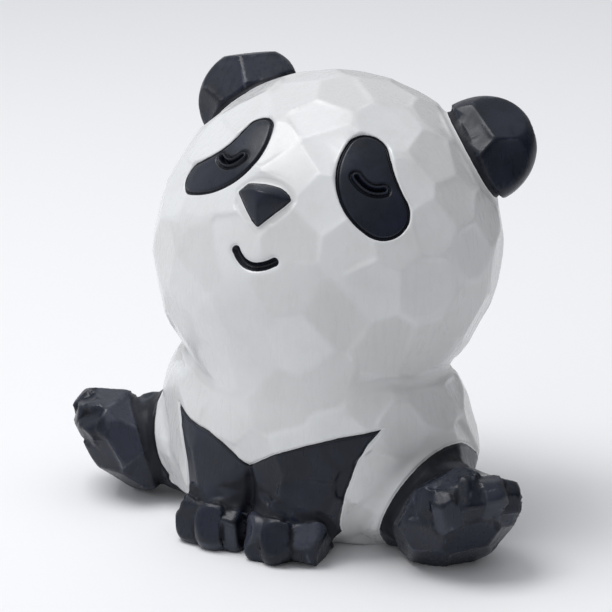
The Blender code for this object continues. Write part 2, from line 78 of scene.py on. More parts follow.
# Nose: a cut gem; its rim and peaks as (across, up) from its middle, peaks with a lift,
# the lift and spread of the rim sunk in the face, and the lump that it is cut from
NOSE_AT = (-0.024, -0.042)
NOSE_RIM = ((-0.064, 0.004), (-0.046, 0.026), (-0.014, 0.031), (0.026, 0.030), (0.046, 0.021),
            (0.057, 0.009), (0.048, -0.006), (0.012, -0.042), (0.004, -0.058),
            (-0.018, -0.044), (-0.050, -0.012))
NOSE_RIM_LIFT = 0.008
NOSE_PEAKS = ((-0.008, 0.006, 0.034), (0.016, 0.004, 0.031), (-0.034, 0.006, 0.026),
              (-0.002, -0.024, 0.027))
NOSE_ROOT = (-0.030, 1.10)
NOSE_ROUNDING = 0.0015
NOSE_REACH = 0.050
NOSE_LUMP = (0.050, 0.030, 0.040)

# Trunk
HIPS_CENTRE = (0.0, -0.007, 0.127)
HIPS_RADII = (0.327, 0.267, 0.180)
TRUNK_CENTRE = (-0.012, -0.040, 0.234)
TRUNK_RADII = (0.347, 0.250, 0.240)
THROAT_CENTRE = (0.046, -0.118, 0.300)
THROAT_RADII = (0.233, 0.205, 0.195)
TAIL_CENTRE = (0.0, 0.240, 0.120)
TAIL_RADIUS = 0.060

# Front legs: from the shoulder to the wrist, with three toes on each paw
ARM_TOP = (0.153, -0.127, 0.267)
ARM_TOP_RADIUS = 0.127
ARM_END = (0.088, -0.258, 0.080)
ARM_END_RADIUS = 0.083
LEFT_PAW_SHIFT = (-0.010, -0.002, 0.0)
LEFT_PAW_TURN = 17.0
PAW_TOES = 3
PAW_CENTRE = (0.085, -0.290, 0.052)
PAW_RADII = (0.086, 0.070, 0.056)
PAW_TOE_PLACES = (0.034, 0.078, 0.132)
PAW_TOE_SIZES = (0.84, 0.98, 1.12)
PAW_TOE_FRONT = (-0.303, 0.046)
PAW_TOE_BOW = 0.012
PAW_TOE_RADII = (0.035, 0.066, 0.052)
TOE_POWER = 3.0

# Hind legs: a thigh, and a foot set across its end with the sole out and down
THIGH_START = (0.173, -0.060, 0.120)
THIGH_START_RADIUS = 0.134
THIGH_END = (0.347, -0.133, 0.109)
THIGH_END_RADIUS = 0.096
FOOT_CENTRE = (0.403, -0.167, 0.109)
RIGHT_FOOT_SHIFT = (0.026, 0.016, 0.010)
FOOT_RADII = (0.123, 0.078, 0.125)
FOOT_TURN = 50.0
FOOT_LIFT = -37.0
HEEL_PLACE = (-0.028, 0.024, -0.046)
RIGHT_HEEL_SHIFT = (-0.014, 0.0, 0.018)
HEEL_RADIUS = 0.088
FOOT_TOES = 4
FOOT_TOE_SPREAD = 0.121
FOOT_TOE_MIDDLE = (0.012, -0.018, 0.086)
FOOT_TOE_BOW = 0.020
FOOT_TOE_RADII = (0.034, 0.042, 0.046)

# How far neighbouring forms melt into each other
BLEND_TRUNK = 0.110
BLEND_THIGH = 0.050
BLEND_ARM = 0.045
BLEND_THROAT = 0.090
BLEND_HEAD = 0.016
BLEND_SMALL = 0.014
BLEND_NOSE = 0.006
BLEND_TOES = 0.012

# Chisel facets: distance between their middles, how flat they are cut, how soft their
# edges are and how far the skin may move to lie on them. Facets fade where the figure
# bends inwards within the reach; within the shorter reach, painted shade darkens the
# paint there and dust makes it rougher.
FACET_HEAD = 0.086
FACET_BODY = 0.096
FACET_LIMB = 0.070
FACET_EAR = 0.074
FACET_TOE = 0.050
FACET_CUT = 1.0
FACET_CUT_SMOOTH = 0.25
FACET_TILT = 1.5
FACET_EDGE = 0.0028
FACET_EDGE_CREASE = 0.040
FACET_SINK = 0.8
EVEN_REACH = 0.6
FACET_SEED = 11
FACETS_BLENDED = 5
FACET_SLOPE_STEP = 0.006
FACET_SHELL = 0.012
AGREE_LEAST = 0.3
FADE_REACH = 0.032
DUST_AND_SHADE_REACH = 0.018
FADE_BEND = 11.0
FADE_SPAN = 10.0
FACET_REACH_MAIN = 0.07
FACET_REACH_SMALL = 0.20
NOSE_PIECE = 1
OTHER_PIECE = 1e2
TURNED_AWAY = 1e3
LEAST = 1e-12
CHUNK = 4000
FAR = 1e9

# Cut lines: half width and depth
MOUTH_WIDTH = 0.0085
MOUTH_DEPTH = 0.013
ARM_CREASE_WIDTH = 0.010
ARM_CREASE_DEPTH = 0.013
ARM_CREASE_TOP = 0.200
ARM_CREASE_SIDE = -0.005
ARM_CREASE_FRONT = -0.20
ARM_CREASE_FADE = 0.04

# Face drawn on the front of the head, as (across, up) in the head's own frame
MOUTH_ARC = ((-0.059, -0.151), (-0.018, -0.175), (0.031, -0.157))
LEFT_PATCH = ((0.134, 0.116, 0.0455), (0.162, 0.047, 0.0635), (0.206, 0.005, 0.0580))
RIGHT_PATCH = ((-0.109, 0.108, 0.0365), (-0.136, 0.026, 0.0520), (-0.217, -0.012, 0.0385))
LEFT_EYE_ARC = ((0.137, 0.056), (0.167, 0.041), (0.193, 0.050))
RIGHT_EYE_ARC = ((-0.113, 0.041), (-0.137, 0.023), (-0.164, 0.034))

# Shut eyes: half width and depth of the slit, then place, half width and rise or depth of
# the lips beside it and of the fine line around them
SLIT_WIDTH = 0.0036
SLIT_DEPTH = 0.0110
LIP_PLACE = 0.0068
LIP_WIDTH = 0.0032
LIP_RISE = 0.0042
RIM_PLACE = 0.0122
RIM_WIDTH = 0.0026
RIM_DEPTH = 0.0045

# Outline cut just inside each eye patch, and along the paint's edge on legs and chest
OUTLINE_IN = 0.0032
OUTLINE_WIDTH = 0.0034
OUTLINE_DEPTH = 0.0062
PAINT_EDGE_WIDTH = 0.0030
PAINT_EDGE_DEPTH = 0.0040

# Crease where the head rests on the trunk, how far its painted shade spreads, and how much of
# the facets shows on the eye patches and the chest
NECK_WIDTH = 0.0065
NECK_DEPTH = 0.017
NECK_SHADE_SPREAD = 1.4
PATCH_FACETS = 0.15
CHEST_FACETS = 0.35

# Places where the facets are cut shallow, each limit with the width of its fade: the chin
# and bib in the head's own frame, then the chest
BIB_BELOW = (-0.09, 0.07)
BIB_AHEAD = (0.05, 0.10)
BIB_HALF_WIDTH = (0.24, 0.08)
BIB_ABOVE = (0.20, 0.06)
CHEST_AHEAD = (-0.10, 0.06)
CHEST_ABOVE = (0.19, 0.05)
CHEST_BELOW = (0.46, 0.06)
CHEST_MIDDLE = 0.02
CHEST_HALF_WIDTH = (0.26, 0.08)
PATCH_FADE = 0.006

# Fineness of the carved skin and its most triangles, how near the cut lines it is divided,
# once and again, and how much nearer at the neck and the paint's edge, and the limits of
# one move toward the figure
SKIN_STEP = 0.0053
MOST_TRIANGLES = 192000
FINER_REACHES = (0.024, 0.012)
FINER_LESS = 0.004
STEEP_LEAST = 0.4
MOVE_MOST = 0.02
BALL_SEGMENTS = 40
BALL_RINGS = 24

# Corners of the space that holds the figure, and the points scattered in it
FIGURE_LOW = (-0.60, -0.42, -0.02)
FIGURE_HIGH = (0.60, 0.40, 1.00)
FACET_TRIES = 300000

# Paint borders, in shares of the height: the front legs' outline seen from the front
ARM_PAINT = ((-0.006, 0.187), (0.067, 0.230), (0.134, 0.257), (0.193, 0.276), (0.264, 0.292),
             (0.244, 0.262), (0.229, 0.228), (0.216, 0.189), (0.203, 0.156), (0.195, 0.134),
             (0.186, 0.097), (0.172, 0.050), (0.165, -0.050), (-0.170, -0.050), (-0.175, 0.050),
             (-0.181, 0.154), (-0.195, 0.215), (-0.221, 0.268), (-0.170, 0.250), (-0.111, 0.241),
             (-0.073, 0.225), (-0.031, 0.201))
ARM_PAINT_BACK = -0.107
PAW_PAINT_BACK = 0.125
PAW_PAINT_RISE = (0.115, 0.05)

# Hind feet: black beyond a plane across the thigh, below the paint's top
LEFT_FOOT_PAINT = ((0.890, -0.147, -0.432), 0.2214)
RIGHT_FOOT_PAINT = ((-0.955, -0.080, -0.285), 0.2756)
LEG_PAINT_TOP = 0.30

# How far black reaches from the mouth's line and round the paws, how far from the head it
# keeps, and what brings shares to about millimetres for the paint's marks
MOUTH_PAINT = 0.0094
PAW_PAINT = 0.008
HEAD_CLEAR = 0.02
MM = 75.0

# Paint: how strongly facets, creases, the neck, the rim beside the black and the cut lines
# tint the white, and the colour of each; the creases, neck and cut lines layers are painted shade
WHITE_LAYERS = {"facets": (0.50, (0.53, 0.53, 0.52)), "creases": (0.18, (0.42, 0.42, 0.41)),
                "neck": (0.6, (0.22, 0.22, 0.20)), "rim": (0.8, (0.86, 0.88, 0.90)),
                "grooves": (0.55, (0.10, 0.10, 0.12))}
BLACK_FACET = (0.042, 0.047, 0.066)
# Worn facet edges of the black: worn paint and a painted highlight
BLACK_WORN_AND_HIGHLIGHT = (0.12, 0.13, 0.17)
# Painted shade in the black's creases and cut lines
BLACK_CREASE_SHADE = (0.004, 0.004, 0.006)
# Painted shade along the black paint's border
BLACK_BORDER_SHADE = (0.002, 0.002, 0.004)
# Width of the worn edges with their painted highlight, in millimetres
WEAR_AND_HIGHLIGHT_WIDTH = 0.35
STREAK_TURN = (0.5, 0.35, 0.8)
STREAK_STRETCH = (1.0, 1.0, 0.16)

# Room light, lamps and camera: places in metres, angles in degrees
ROOM_BRIGHT_WAY = (-0.64, -0.18, 0.76)
ROOM_DIM = (0.105, 0.104, 0.098)
ROOM_BRIGHT = (1.0, 1.02, 1.06)
KEY_PLACE = (-0.24, -0.14, 0.72)
KEY_WIDTH = 0.40
FILL_PLACES = {"fill_light": (0.60, -0.55, 0.30), "back_light": (0.10, 0.60, 0.50)}
FILL_WIDTH = 0.60
LIGHT_AIM = (0.0, 0.0, 0.04)
FLOOR_WIDTH = 8.0
CAMERA_TURN = 30.9
CAMERA_RISE = 16.8
CAMERA_AIM = (-0.003142, 0.001528, 0.034491)
CAMERA_DISTANCE = 0.3950
CAMERA_LENS = 138.47
SENSOR_WIDTH = 36.0


def turn_matrix(turn, lift, lean=0.0):
    """Rotation that leans a form sideways, lifts its front, then turns it."""
    spin = Matrix.Rotation(math.radians(turn), 3, "Z")
    nod = Matrix.Rotation(math.radians(-lift), 3, "X")
    tip = Matrix.Rotation(math.radians(lean), 3, "Y")
    return np.array(spin @ nod @ tip)


HEAD_MATRIX = turn_matrix(HEAD_TURN, HEAD_LIFT, HEAD_LEAN)


def head_point(across, up, out=1.0):
    """Point on the front of the head under (across, up), in shares of HEIGHT."""
    rx, ry, rz = HEAD_RADII
    depth = math.sqrt(max(0.0, 1.0 - (across / rx) ** 2 - (up / rz) ** 2))
    local = np.array((across * out, -ry * depth * out, up * out))
    return HEAD_MATRIX @ local + np.array(HEAD_CENTRE)


def head_direction_point(side, up, out):
    """Point on the head in a compass direction from its face, in shares."""
    a, e = math.radians(side), math.radians(up)
    ball = np.array((math.sin(a) * math.cos(e), -math.cos(a) * math.cos(e), math.sin(e)))
    return HEAD_MATRIX @ (ball * np.array(HEAD_RADII) * out) + np.array(HEAD_CENTRE)


def egg(name, centre, radii, matrix=None, power=2.0):
    """An egg-shaped form: its name, place, radii and turn; a power above 2 makes it boxier."""
    matrix = np.eye(3) if matrix is None else matrix
    return {"name": name, "kind": "egg", "centre": np.array(centre), "radii": np.array(radii),
            "matrix": matrix, "power": power}


def limb(name, start, end, start_radius, end_radius):
    """A tapered limb with round ends."""
    return {"name": name, "kind": "limb", "start": np.array(start), "end": np.array(end),
            "radii": (start_radius, end_radius)}


def foot_shift(side):
    """The right foot sits a little wider, further back and higher than the left."""
    return np.array(RIGHT_FOOT_SHIFT if side < 0 else (0.0, 0.0, 0.0))


def paw_shift(side):
    """The left front paw sits a little nearer the middle than the right one."""
    return np.array(LEFT_PAW_SHIFT if side > 0 else (0.0, 0.0, 0.0))


def foot_forms(side):
    """The hind foot and its toes; side is 1 for the panda's left and -1 for its right."""
    matrix = turn_matrix(side * FOOT_TURN, FOOT_LIFT)
    centre = (np.array(FOOT_CENTRE) + foot_shift(side)) * (side, 1, 1)
    heel = centre + matrix @ (np.array(HEEL_PLACE) * (side, 1, 1))
    heel += RIGHT_HEEL_SHIFT if side < 0 else (0.0, 0.0, 0.0)
    forms = [egg("foot", centre, FOOT_RADII, matrix), egg("heel", heel, (HEEL_RADIUS,) * 3)]
    for i in range(FOOT_TOES):
        t = i / (FOOT_TOES - 1) - 0.5
        middle = np.array(FOOT_TOE_MIDDLE)
        local = middle + (t * FOOT_TOE_SPREAD, 0.0, -FOOT_TOE_BOW * (2 * t) ** 2)
        place = centre + matrix @ (local * (side, 1, 1))
        forms.append(egg("foot_toe", place, FOOT_TOE_RADII, matrix, TOE_POWER))
    return forms


def paw_forms(side):
    """One front paw and its toes; the left paw is turned out a little."""
    turn = turn_matrix(LEFT_PAW_TURN if side > 0 else 0.0, 0.0)
    centre = np.array(PAW_CENTRE) * (side, 1, 1) + paw_shift(side)
    forms = [egg("paw", centre, PAW_RADII, turn)]
    for i in range(PAW_TOES):
        t = 2 * i / (PAW_TOES - 1) - 1
        toe = (PAW_TOE_PLACES[i], PAW_TOE_FRONT[0] + PAW_TOE_BOW * t * t, PAW_TOE_FRONT[1])
        place = centre + turn @ ((np.array(toe) - PAW_CENTRE) * (side, 1, 1))
        radii = np.array(PAW_TOE_RADII) * (PAW_TOE_SIZES[i], 1, 1)
        forms.append(egg("paw_toe", place, radii, turn, TOE_POWER))
    return forms


def nose_corners():
    """Corners of the nose: a rim sunk in the face, the same rim raised, and its peaks."""
    outward = -HEAD_MATRIX[:, 1]
    corners = []
    for lift, spread in (NOSE_ROOT, (NOSE_RIM_LIFT, 1.0)):
        for across, up in NOSE_RIM:
            place = head_point(NOSE_AT[0] + across * spread, NOSE_AT[1] + up * spread)
            corners.append(place + outward * lift)
    for across, up, lift in NOSE_PEAKS:
        corners.append(head_point(NOSE_AT[0] + across, NOSE_AT[1] + up) + outward * lift)
    return corners


def nose_form():
    """The nose as a cut gem: the flat sides of the hull drawn tight round its corners."""
    built = bmesh.new()
    for place in nose_corners():
        built.verts.new(place)
    bmesh.ops.convex_hull(built, input=built.verts[:])
    facings = []
    reaches = []
    for face in built.faces:
        facing = np.array(face.normal)
        reach = facing @ np.array(face.verts[0].co)
        if not any(facing @ other > 0.999 for other in facings):
            facings.append(facing)
            reaches.append(reach)
    built.free()
    centre = head_point(*NOSE_AT)
    return {"name": "nose", "kind": "gem", "facings": np.array(facings),
            "reaches": np.array(reaches) - NOSE_ROUNDING, "centre": centre,
            "radii": np.array(NOSE_LUMP), "matrix": HEAD_MATRIX}


def figure_groups():
    """The forms in the order in which they join, each group with its blend."""
    head = egg("head", HEAD_CENTRE, HEAD_RADII, HEAD_MATRIX)
    groups = [([egg("body", HIPS_CENTRE, HIPS_RADII)], BLEND_TRUNK)]
    groups.append(([egg("body", TRUNK_CENTRE, TRUNK_RADII)], BLEND_TRUNK))
    groups.append(([egg("body", TAIL_CENTRE, (TAIL_RADIUS,) * 3)], BLEND_ARM))
    for side in (1, -1):
        start = np.array(THIGH_START) * (side, 1, 1)
        end = (np.array(THIGH_END) + foot_shift(side)) * (side, 1, 1)
        thigh = limb("thigh", start, end, THIGH_START_RADIUS, THIGH_END_RADIUS)
        groups.append(([thigh], BLEND_THIGH))
        groups.append((foot_forms(side), BLEND_SMALL))
        start = np.array(ARM_TOP) * (side, 1, 1)
        end = np.array(ARM_END) * (side, 1, 1) + paw_shift(side)
        arm = limb("arm", start, end, ARM_TOP_RADIUS, ARM_END_RADIUS)
        groups.append(([arm], BLEND_ARM))
        groups.append((paw_forms(side), BLEND_SMALL))
    groups.append(([head], BLEND_HEAD))
    groups.append(([egg("throat", THROAT_CENTRE, THROAT_RADII)], BLEND_THROAT))
    for side in (1, -1):
        place = head_direction_point(side * EAR_SIDE, EAR_UP, EAR_OUT)
        groups.append(([egg("ear", place, EAR_RADII, HEAD_MATRIX)], BLEND_SMALL))
    groups.append(([nose_form()], BLEND_NOSE))
    return groups


def form_distance(form, points):
    """Distance from points to one form, negative inside, in shares of HEIGHT."""
    if form["kind"] == "limb":
        axis = form["end"] - form["start"]
        t = np.clip((points - form["start"]) @ axis / (axis @ axis), 0.0, 1.0)
        first, last = form["radii"]
        near = points - form["start"] - t[:, None] * axis
        return np.sqrt(np.einsum("ij,ij->i", near, near)) - (first + (last - first) * t)
    if form["kind"] == "gem":
        heights = (points @ form["facings"].T - form["reaches"]) / NOSE_ROUNDING
        most = heights.max(axis=1)
        return (most + np.log(np.exp(heights - most[:, None]).sum(axis=1))) * NOSE_ROUNDING
    power = form["power"]
    local = (points - form["centre"]) @ form["matrix"] / form["radii"]
    if power == 2.0:
        k0 = np.sqrt(np.einsum("ij,ij->i", local, local))
        slope = local / form["radii"]
        return k0 * (k0 - 1.0) / np.maximum(np.sqrt(np.einsum("ij,ij->i", slope, slope)), 1e-9)
    local = np.abs(local)
    k0 = (local ** power).sum(axis=1) ** (1.0 / power)
    slope = local ** (power - 1.0) / form["radii"]
    steep = np.sqrt(np.einsum("ij,ij->i", slope, slope))
    return (k0 - 1.0) * k0 ** (power - 1.0) / np.maximum(steep, 1e-9)


def soft_union(a, b, blend):
    """Union of two distance fields, rounded where they meet."""
    h = np.clip(0.5 + 0.5 * (b - a) / blend, 0.0, 1.0)
    return b + (a - b) * h - blend * h * (1.0 - h)


def figure_distance(groups, points):
    """Distance from points to the blended figure."""
    total = None
    for forms, blend in groups:
        part = form_distance(forms[0], points)
        for form in forms[1:]:
            part = soft_union(part, form_distance(form, points), BLEND_TOES)
        total = part if total is None else soft_union(total, part, blend)
    return total


def figure_normals(groups, points, step=0.002):
    """Outward direction of the blended figure at each point."""
    slopes = []
    for axis in range(3):
        shift = np.zeros(3)
        shift[axis] = step
        ahead = figure_distance(groups, points + shift)
        behind = figure_distance(groups, points - shift)
        slopes.append((ahead - behind) / (2 * step))
    slope = np.stack(slopes, axis=1)
    length = np.linalg.norm(slope, axis=1)[:, None]
    return slope / np.maximum(length, 1e-6), length[:, 0]


def get_points(mesh):
    """Vertex places of a mesh as an array."""
    points = np.empty(len(mesh.vertices) * 3)
    mesh.vertices.foreach_get("co", points)
    return points.reshape(-1, 3)


def set_points(mesh, points):
    """Put an array of places back on a mesh's vertices."""
    mesh.vertices.foreach_set("co", points.ravel())
    mesh.update()


def settle_on_figure(groups, points, rounds, slope_kept):
    """Move points onto the blended surface; each slope is kept for some of the rounds."""
    for turn in range(rounds):
        if turn % slope_kept == 0:
            normal, slope = figure_normals(groups, points)
        step = figure_distance(groups, points) / np.maximum(slope, STEEP_LEAST)
        points = points - normal * np.clip(step, -MOVE_MOST, MOVE_MOST)[:, None]
    return points


def arc_points(places, count):
    """Points of a smooth arc through three (across, up, ...) places."""
    first, middle, last = (np.array(p, dtype=float) for p in places)
    bend = 2 * middle - 0.5 * (first + last)
    t = np.linspace(0.0, 1.0, count)[:, None]
    return (1 - t) ** 2 * first + 2 * t * (1 - t) * bend + t ** 2 * last


def distance_to_line(points, line, radii=0.0):
    """Least distance from points to a row of places, less the radius at each."""
    radii = np.broadcast_to(radii, len(line))
    best = np.full(len(points), FAR)
    for place, radius in zip(line, radii):
        best = np.minimum(best, np.linalg.norm(points - place, axis=1) - radius)
    return best


def on_head(arc):
    """Carry a drawn arc onto the front of the head."""
    return np.array([head_point(p[0], p[1]) for p in arc])


def patch_distance(points, patch):
    """Distance to an eye patch's edge, negative inside the patch."""
    arc = arc_points(patch, 33)
    return distance_to_line(points, on_head(arc), arc[:, 2])


def face_lines(points):
    """Distance from points to each cut line of the face."""
    arcs = {"mouth": MOUTH_ARC, "left_eye": LEFT_EYE_ARC, "right_eye": RIGHT_EYE_ARC}
    lines = {name: distance_to_line(points, on_head(arc_points(arc, 41)))
             for name, arc in arcs.items()}
    lines["left_patch"] = patch_distance(points, LEFT_PATCH)
    lines["right_patch"] = patch_distance(points, RIGHT_PATCH)
    return lines


def nearest_form(groups, points):
    """Facet size at each point, and the number of the piece of the figure it is on.

    The trunk, head, thighs and arms count as one piece, whose facets run on
    across the blends. Each ear and toe, the nose, and each foot with its heel
    is cut by itself.
    """
    sizes = {"head": FACET_HEAD, "throat": FACET_HEAD, "body": FACET_BODY, "thigh": FACET_BODY,
             "arm": FACET_BODY, "ear": FACET_EAR, "nose": FACET_TOE, "foot": FACET_LIMB,
             "heel": FACET_LIMB, "paw": FACET_LIMB, "foot_toe": FACET_TOE, "paw_toe": FACET_TOE}
    own_piece = ("ear", "foot", "paw", "foot_toe", "paw_toe")
    best = np.full(len(points), FAR)
    steps = np.empty(len(points))
    pieces = np.zeros(len(points), dtype=int)
    forms = [form for group, _ in groups for form in group]
    for number, form in enumerate(forms, start=2):
        distance = form_distance(form, points)
        closer = distance < best
        best[closer] = distance[closer]
        steps[closer] = sizes[form["name"]]
        own = {"nose": NOSE_PIECE, "heel": number - 1}
        pieces[closer] = own.get(form["name"], number if form["name"] in own_piece else 0)
    return steps, pieces


def facet_fade(groups, points, reach=FADE_REACH):
    """Where facets may be cut: 1 on round and flat skin, falling to 0 in creases."""
    middle = figure_distance(groups, points)
    bend = -6.0 * middle
    for axis in range(3):
        for way in (-1, 1):
            shift = np.zeros(3)
            shift[axis] = way * reach
            bend += figure_distance(groups, points + shift)
    bend /= reach ** 2
    return np.clip((bend + FADE_BEND) / FADE_SPAN, 0.0, 1.0)


def rising(values, start, width):
    """0 up to the start, then rising to 1 over the width."""
    return np.clip((values - start) / width, 0.0, 1.0)


def falling(values, end, width):
    """1 at first, falling to 0 over the width up to the end."""
    return np.clip((end - values) / width, 0.0, 1.0)


def squared_gaps(points, places):
    """Square of the distance from each point to each place."""
    return np.sum((points[:, None] - places[None]) ** 2, axis=2)


def chunks(points):
    """Slices that take a long row of points a part at a time."""
    return [slice(start, start + CHUNK) for start in range(0, len(points), CHUNK)]


def facet_cut(points):
    """How flat the facets are cut at each point: nearly smooth under the mouth and on the bib."""
    local = (points - np.array(HEAD_CENTRE)) @ HEAD_MATRIX
    low = falling(local[:, 2], *BIB_BELOW)
    ahead = rising(-local[:, 1], *BIB_AHEAD)
    middle = falling(np.abs(local[:, 0]), *BIB_HALF_WIDTH)
    smooth = low * ahead * middle * rising(points[:, 2], *BIB_ABOVE)
    return FACET_CUT + (FACET_CUT_SMOOTH - FACET_CUT) * smooth


def choose_facets(points, normals, steps, pieces):
    """Pick facet middles so that none is nearer to another than its own step."""
    dice = np.random.RandomState(FACET_SEED)
    order = dice.permutation(len(points))
    picked = []
    for i in order:
        if pieces[i] == NOSE_PIECE:
            continue
        if picked:
            gap = np.sum((points[picked] - points[i]) ** 2, axis=1)
            gap = gap + (pieces[picked] != pieces[i])
            if gap.min() < steps[i] ** 2:
                continue
        picked.append(i)
    tilts = dice.normal(0.0, math.radians(FACET_TILT), (len(picked), 3))
    facings = normals[picked] + np.cross(tilts, normals[picked])
    facings /= np.linalg.norm(facings, axis=1)[:, None]
    return {"places": points[picked], "facings": facings, "spans": steps[picked],
            "pieces": pieces[picked]}


def facet_offsets(points, normals, pieces, facets, fade):
    """How far each point moves along its normal to lie on its own flat facet."""
    places, facings, spans = facets["places"], facets["facings"], facets["spans"]
    offsets = np.zeros(len(points))
    owners = np.zeros(len(points), dtype=int)
    for part in chunks(points):
        p = points[part]
        gap = squared_gaps(p, places)
        agree = normals[part] @ facings.T
        gap = gap + (1.0 - agree) * spans ** 2 * 2.0
        gap = gap + np.where(agree < AGREE_LEAST, TURNED_AWAY, 0.0)
        gap = gap + np.where(pieces[part][:, None] == facets["pieces"], 0.0, OTHER_PIECE)
        nearest = np.argpartition(gap, FACETS_BLENDED, axis=1)[:, :FACETS_BLENDED]
        rows = np.arange(len(p))[:, None]
        near_gap = gap[rows, nearest]
        least = near_gap.min(axis=1, keepdims=True)
        edge = FACET_EDGE + FACET_EDGE_CREASE * (1.0 - fade[part][:, None])
        weight = np.exp(-(near_gap - least) / (2.0 * edge * spans[nearest]))
        weight /= weight.sum(axis=1, keepdims=True)
        drop = np.einsum("ijk,ijk->ij", places[nearest] - p[:, None], facings[nearest])
        lift = drop / np.maximum(agree[rows, nearest], 0.5)
        limit = spans[nearest] * np.where(facets["pieces"][nearest] > 0, FACET_REACH_SMALL,
                                          FACET_REACH_MAIN)
        lift = np.clip(lift, -limit, limit)
        offsets[part] = (weight * lift).sum(axis=1)
        owners[part] = nearest[np.arange(len(p)), near_gap.argmin(axis=1)]
    return offsets - FACET_SINK * even_out(points, places, spans, offsets, owners)


def even_out(points, places, spans, offsets, owners):
    """The offsets' average around each point, spread over the facets near it."""
    count = np.maximum(np.bincount(owners, minlength=len(places)), 1)
    mean = np.bincount(owners, offsets, len(places)) / count
    spread = np.zeros(len(points))
    for part in chunks(points):
        weight = np.exp(-squared_gaps(points[part], places) / (EVEN_REACH * spans) ** 2) + LEAST
        spread[part] = weight @ mean / weight.sum(axis=1)
    return spread


def line_cut(distance, width, depth):
    """A rounded groove along a line."""
    return -depth * np.exp(-(distance / width) ** 2)


def forms_distance(groups, points, names):
    """Least distance from points to the forms with these names."""
    chosen = [form for forms, _ in groups for form in forms if form["name"] in names]
    return np.minimum.reduce([form_distance(form, points) for form in chosen])


def eye_relief(distance):
    """A shut eye: a narrow slit between two lips, with a fine line cut around them."""
    offsets = line_cut(distance, SLIT_WIDTH, SLIT_DEPTH)
    offsets -= line_cut(distance - LIP_PLACE, LIP_WIDTH, LIP_RISE)
    return offsets + line_cut(distance - RIM_PLACE, RIM_WIDTH, RIM_DEPTH)


def neck_distance(groups, points):
    """Distance to the line where the head rests on the trunk."""
    order = [forms[0]["name"] for forms, _ in groups].index("head")
    head = form_distance(groups[order][0][0], points)
    return np.hypot(head, figure_distance(groups[:order], points))


def face_offsets(points):
    """The mouth, the shut eyes and the cut line around each eye patch."""
    lines = face_lines(points)
    offsets = line_cut(lines["mouth"], MOUTH_WIDTH, MOUTH_DEPTH)
    for side in ("left", "right"):
        offsets += line_cut(lines[side + "_patch"] + OUTLINE_IN, OUTLINE_WIDTH, OUTLINE_DEPTH)
        offsets += eye_relief(lines[side + "_eye"])
    return offsets


def crease_offsets(points):
    """The upright crease between the front legs, fading out at the chest."""
    below = falling(points[:, 2], ARM_CREASE_TOP, ARM_CREASE_FADE)
    ahead = falling(points[:, 1], ARM_CREASE_FRONT, ARM_CREASE_FADE)
    across = points[:, 0] - ARM_CREASE_SIDE
    return line_cut(across, ARM_CREASE_WIDTH, ARM_CREASE_DEPTH) * below * ahead


def deselect_all():
    """Leave nothing selected."""
    if bpy.context.object and bpy.context.object.mode != "OBJECT":
        bpy.ops.object.mode_set(mode="OBJECT")
    bpy.ops.object.select_all(action="DESELECT")


def add_ball(place, radii, matrix=None):
    """A round or egg-shaped lump of clay at its place, with its turn and size in its mesh."""
    turn = Matrix(matrix.tolist()).to_euler() if matrix is not None else (0.0, 0.0, 0.0)
    bpy.ops.mesh.primitive_uv_sphere_add(segments=BALL_SEGMENTS,
                                         ring_count=BALL_RINGS, radius=1.0,
                                         location=tuple(place), rotation=turn,
                                         scale=tuple(radii))
    bpy.ops.object.transform_apply(location=True, rotation=True, scale=True)
    return bpy.context.object


def add_lump(form):
    """One form of the figure: an egg, or a limb drawn tight round two balls."""
    deselect_all()
    if form["kind"] != "limb":
        return add_ball(form["centre"], form["radii"], form["matrix"])
    first = add_ball(form["start"], (form["radii"][0],) * 3)
    last = add_ball(form["end"], (form["radii"][1],) * 3)
    first.select_set(True)
    last.select_set(True)
    bpy.context.view_layer.objects.active = first
    bpy.ops.object.join()
    bpy.ops.object.mode_set(mode="EDIT")
    bpy.ops.mesh.select_all(action="SELECT")
    bpy.ops.mesh.convex_hull()
    bpy.ops.object.mode_set(mode="OBJECT")
    return bpy.context.object


def join_lumps(groups, name, step):
    """Join every form into one lump and draw one closed skin over it."""
    lumps = [add_lump(form) for forms, _ in groups for form in forms]
    deselect_all()
    for lump in lumps:
        lump.select_set(True)
    bpy.context.view_layer.objects.active = lumps[0]
    bpy.ops.object.join()
    skin = bpy.context.object
    skin.name = name
    skin.data.name = name
    remesh = skin.modifiers.new("one_skin", "REMESH")
    remesh.mode = "VOXEL"
    remesh.voxel_size = step
    bpy.ops.object.modifier_apply(modifier=remesh.name)
    return skin


def cut_lines_finer(skin, groups):
    """Divide the skin where the face, the neck and the paint's edge on the legs will be cut."""
    for reach in FINER_REACHES:
        points = get_points(skin.data)
        lines = face_lines(points)
        nose = np.linalg.norm(points - head_point(*NOSE_AT), axis=1) - NOSE_REACH
        near = np.minimum.reduce([lines["mouth"], lines["left_eye"], lines["right_eye"], nose,
                                  np.abs(lines["left_patch"]), np.abs(lines["right_patch"]),
                                  np.abs(leg_paint(groups, points)) + FINER_LESS,
                                  neck_distance(groups, points) + FINER_LESS])
        ends = np.empty(len(skin.data.edges) * 2, dtype=int)
        skin.data.edges.foreach_get("vertices", ends)
        wanted = near[ends.reshape(-1, 2)].min(axis=1) < reach
        bpy.ops.object.mode_set(mode="EDIT")
        bpy.ops.mesh.select_all(action="DESELECT")
        bpy.ops.object.mode_set(mode="OBJECT")
        skin.data.edges.foreach_set("select", wanted)
        bpy.ops.object.mode_set(mode="EDIT")
        bpy.ops.mesh.select_mode(type="EDGE")
        bpy.ops.mesh.subdivide(number_cuts=1)
        bpy.ops.mesh.select_all(action="SELECT")
        bpy.ops.mesh.quads_convert_to_tris()
        bpy.ops.object.mode_set(mode="OBJECT")


